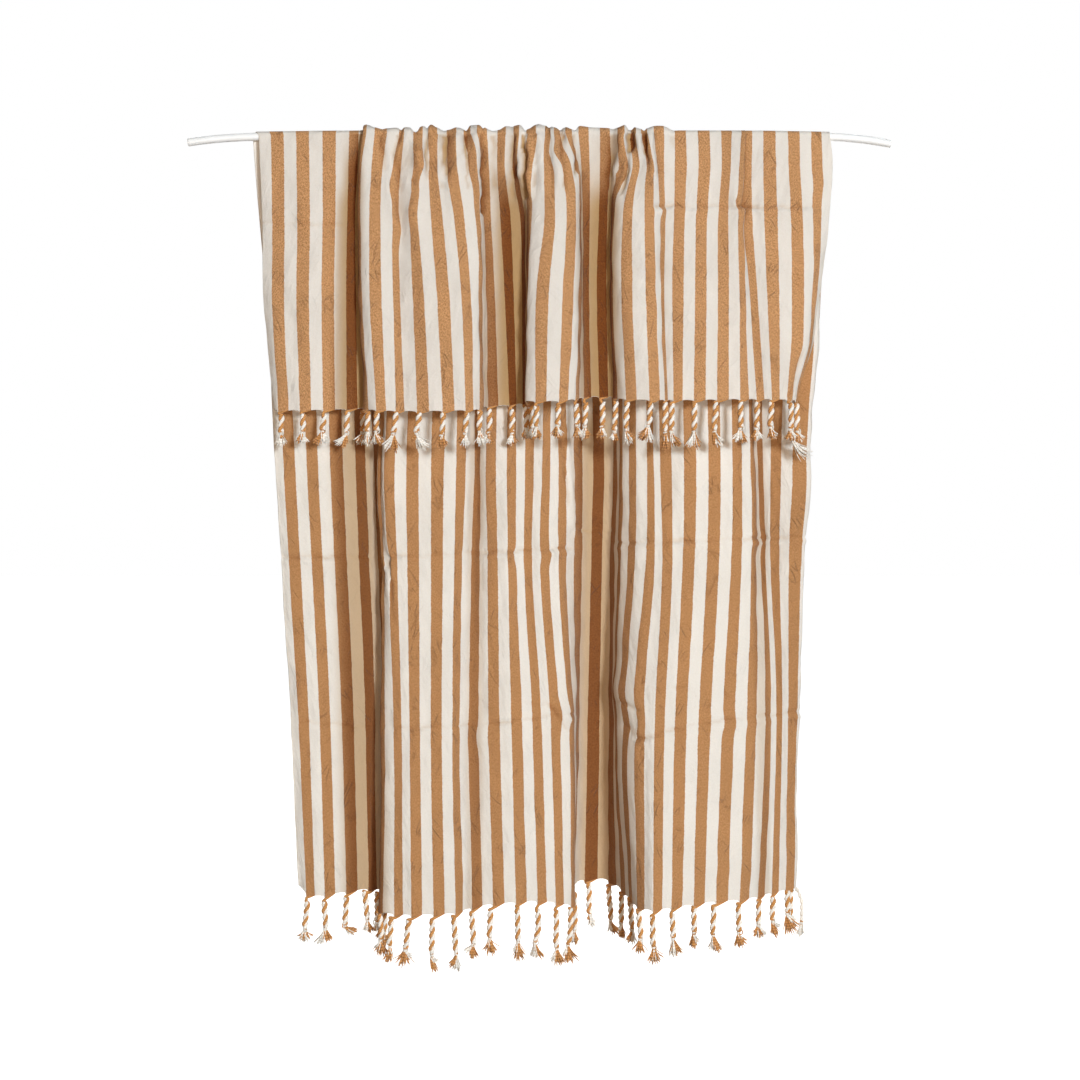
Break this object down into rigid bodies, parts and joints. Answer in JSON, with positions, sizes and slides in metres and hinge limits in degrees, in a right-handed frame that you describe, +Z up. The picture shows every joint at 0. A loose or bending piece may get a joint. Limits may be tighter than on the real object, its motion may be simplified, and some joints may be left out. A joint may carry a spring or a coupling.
{
  "type": "hammam towel on a rod",
  "caption": "Striped flat-woven hammam towel with twisted tassel fringes, hung over a thin bowed rod with a short fall in front of a long one.",
  "frame": {"origin": "middle of the rod's axis, halfway between its two cut ends", "axes": "+X along the rod to the viewer's right, +Y from the short front fall to the back fall, +Z up"},
  "size_m": [1.0833, 0.1553, 1.2885],
  "materials": {
    "striped_cotton": "matt flat weave with lengthwise tan and cream stripes",
    "twisted_cotton": "matt two-ply tan and cream yarn",
    "white_rod": "satin white paint"
  },
  "bodies": {
    "root": {"towel_cloth": "striped_cotton", "fringe_front": "twisted_cotton", "fringe_back": "twisted_cotton", "rod": "white_rod"}
  },
  "joints": []
}
